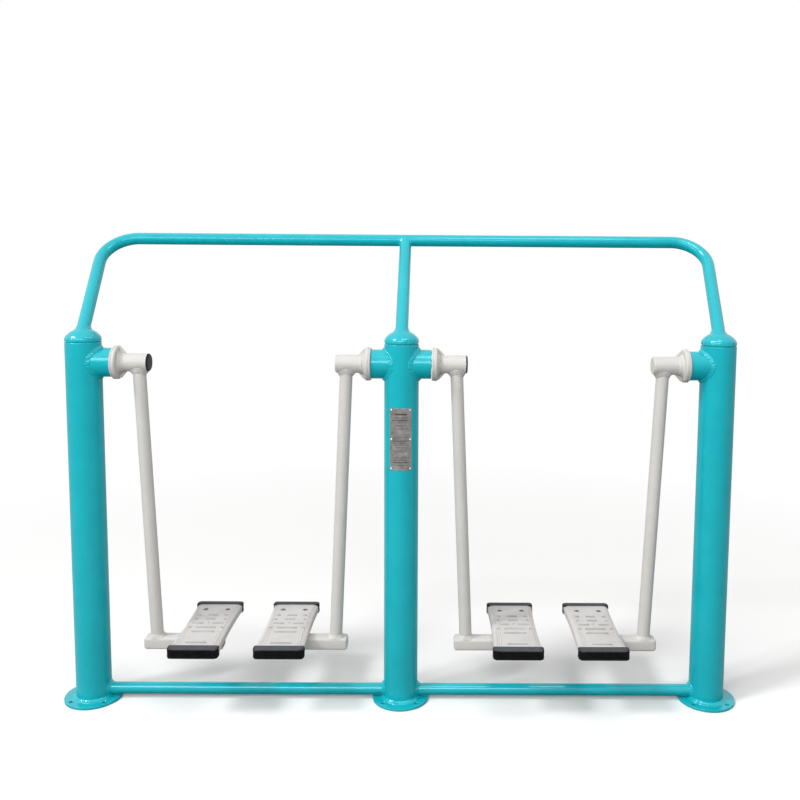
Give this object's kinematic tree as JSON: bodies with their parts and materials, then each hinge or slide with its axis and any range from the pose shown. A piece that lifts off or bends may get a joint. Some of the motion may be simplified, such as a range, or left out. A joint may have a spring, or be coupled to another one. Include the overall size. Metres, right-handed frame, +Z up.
{
  "type": "outdoor air walker",
  "caption": "Outdoor fitness air walker: round posts carry a leaning bent handrail and swinging arms with ribbed foot pedals for people side by side.",
  "frame": {"origin": "on the ground, at the axis of the centre post: the centre of its flange's bolt circle on the underside", "axes": "+X along the machine from post to post, +Y towards the handrail, +Z up"},
  "size_m": [2.28, 0.526, 1.5799],
  "materials": {
    "teal_paint": "glossy powder coat",
    "grey_paint": "satin powder coat",
    "tread_grey": "satin, lightly worn",
    "cap_rubber": "matte",
    "plug_black": "satin",
    "plug_grey": "satin",
    "bearing_steel": "ground",
    "zinc_steel": "zinc plated",
    "plate_metal": "brushed"
  },
  "bodies": {
    "frame": {"axle_boss_centre": "teal_paint", "axle_boss_left": "teal_paint", "axle_boss_right": "teal_paint", "axle_hardware": "zinc_steel", "axles": "bearing_steel", "base_flange_centre": "teal_paint", "base_flange_left": "teal_paint", "base_flange_right": "teal_paint", "handrail": "teal_paint", "handrail_centre_leg": "teal_paint", "lower_rail_left": "teal_paint", "lower_rail_right": "teal_paint", "name_plate": "plate_metal", "name_plate_rivets": "plate_metal", "post_centre": "teal_paint", "post_dome_centre": "teal_paint", "post_dome_left": "teal_paint", "post_dome_right": "teal_paint", "post_left": "teal_paint", "post_right": "teal_paint"},
    "swing_1": {"hub_tube_1": "grey_paint", "hub_flange_1": "grey_paint", "hub_end_plug_1": "plug_black", "bearing_rings_1": "bearing_steel", "swing_arm_1": "grey_paint", "pedal_bracket_1": "grey_paint", "pedal_carrier_1": "grey_paint", "footplate_1": "tread_grey", "pedal_end_caps_1": "cap_rubber", "pedal_fasteners_1": "zinc_steel"},
    "swing_2": {"hub_tube_2": "grey_paint", "hub_flange_2": "grey_paint", "hub_end_plug_2": "plug_grey", "bearing_rings_2": "bearing_steel", "swing_arm_2": "grey_paint", "pedal_bracket_2": "grey_paint", "pedal_carrier_2": "grey_paint", "footplate_2": "tread_grey", "pedal_end_caps_2": "cap_rubber", "pedal_fasteners_2": "zinc_steel"},
    "swing_3": {"hub_tube_3": "grey_paint", "hub_flange_3": "grey_paint", "hub_end_plug_3": "plug_black", "bearing_rings_3": "bearing_steel", "swing_arm_3": "grey_paint", "pedal_bracket_3": "grey_paint", "pedal_carrier_3": "grey_paint", "footplate_3": "tread_grey", "pedal_end_caps_3": "cap_rubber", "pedal_fasteners_3": "zinc_steel"},
    "swing_4": {"hub_tube_4": "grey_paint", "hub_flange_4": "grey_paint", "hub_end_plug_4": "plug_grey", "bearing_rings_4": "bearing_steel", "swing_arm_4": "grey_paint", "pedal_bracket_4": "grey_paint", "pedal_carrier_4": "grey_paint", "footplate_4": "tread_grey", "pedal_end_caps_4": "cap_rubber", "pedal_fasteners_4": "zinc_steel"}
  },
  "joints": [
    {"name": "swing_1_hinge", "type": "hinge", "parent": "frame", "child": "swing_1", "pos_m": [-0.895, 0, 1.148], "axis": [1, 0, 0], "range_deg": [-50, 50]},
    {"name": "swing_2_hinge", "type": "hinge", "parent": "frame", "child": "swing_2", "pos_m": [-0.15, 0, 1.148], "axis": [1, 0, 0], "range_deg": [-50, 50]},
    {"name": "swing_3_hinge", "type": "hinge", "parent": "frame", "child": "swing_3", "pos_m": [0.15, 0, 1.148], "axis": [1, 0, 0], "range_deg": [-50, 50]},
    {"name": "swing_4_hinge", "type": "hinge", "parent": "frame", "child": "swing_4", "pos_m": [0.895, 0, 1.148], "axis": [1, 0, 0], "range_deg": [-50, 50]}
  ]
}
